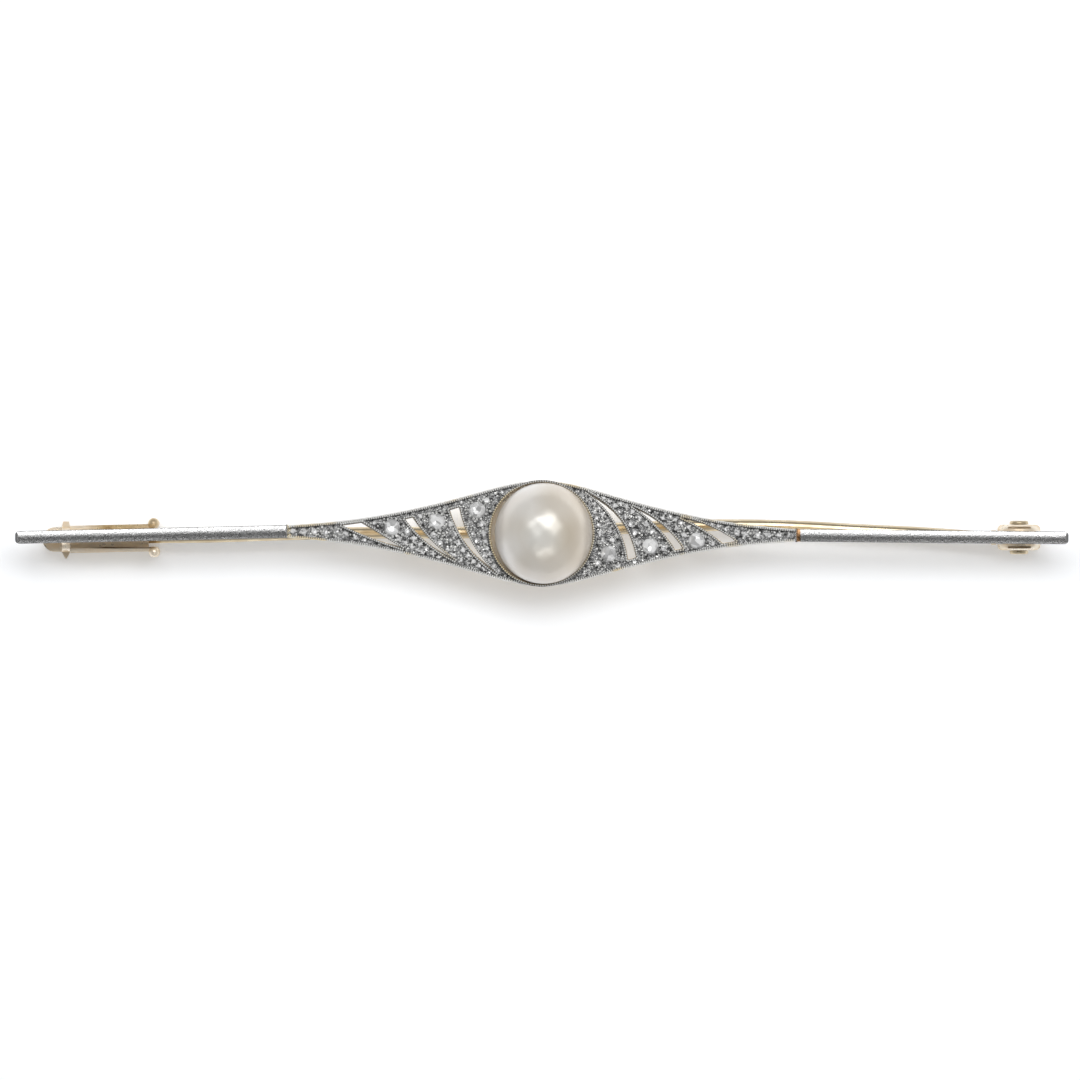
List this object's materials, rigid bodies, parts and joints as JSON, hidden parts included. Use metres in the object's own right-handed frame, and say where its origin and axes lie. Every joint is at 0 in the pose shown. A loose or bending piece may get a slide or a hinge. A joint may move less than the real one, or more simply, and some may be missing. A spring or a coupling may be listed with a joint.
{
  "type": "bar brooch",
  "caption": "Slim bar brooch of platinum on gold with a pierced plaque of old-cut stones, a button pearl in the middle, a hinged pin and a catch with a turning safety collar",
  "frame": {"origin": "the middle of the brooch, at the surface that its back fittings rest on", "axes": "+X runs along the bars from the catch to the hinge, +Y to the upper edge as seen from the front, +Z out of the front"},
  "size_m": [0.078, 0.0078, 0.0084],
  "materials": {
    "platinum": "polished, with fine scratches",
    "gold": "worn polish",
    "pearl": "nacre, soft lustre",
    "diamond": "cut and polished"
  },
  "bodies": {
    "brooch": {"platinum_front": "platinum", "gold_back": "gold", "pearl": "pearl", "stone_left_1": "diamond", "stone_left_2": "diamond", "stone_left_3": "diamond", "stone_right_1": "diamond", "stone_right_2": "diamond", "stone_right_3": "diamond", "small_stones_left": "diamond", "small_stones_right": "diamond", "hinge_rivet": "gold"},
    "pin": {"pin_stem": "gold"},
    "collar": {"safety_collar": "gold"}
  },
  "joints": [
    {"name": "pin_swing", "type": "hinge", "parent": "brooch", "child": "pin", "pos_m": [0.0354, -0.00031, 0.0016], "axis": [0, -1, 0], "range_deg": [0, 75]},
    {"name": "collar_turn", "type": "hinge", "parent": "brooch", "child": "collar", "pos_m": [-0.0353, -0.00045, 0.0012], "axis": [1, 0, 0], "range_deg": [0, 90]}
  ]
}
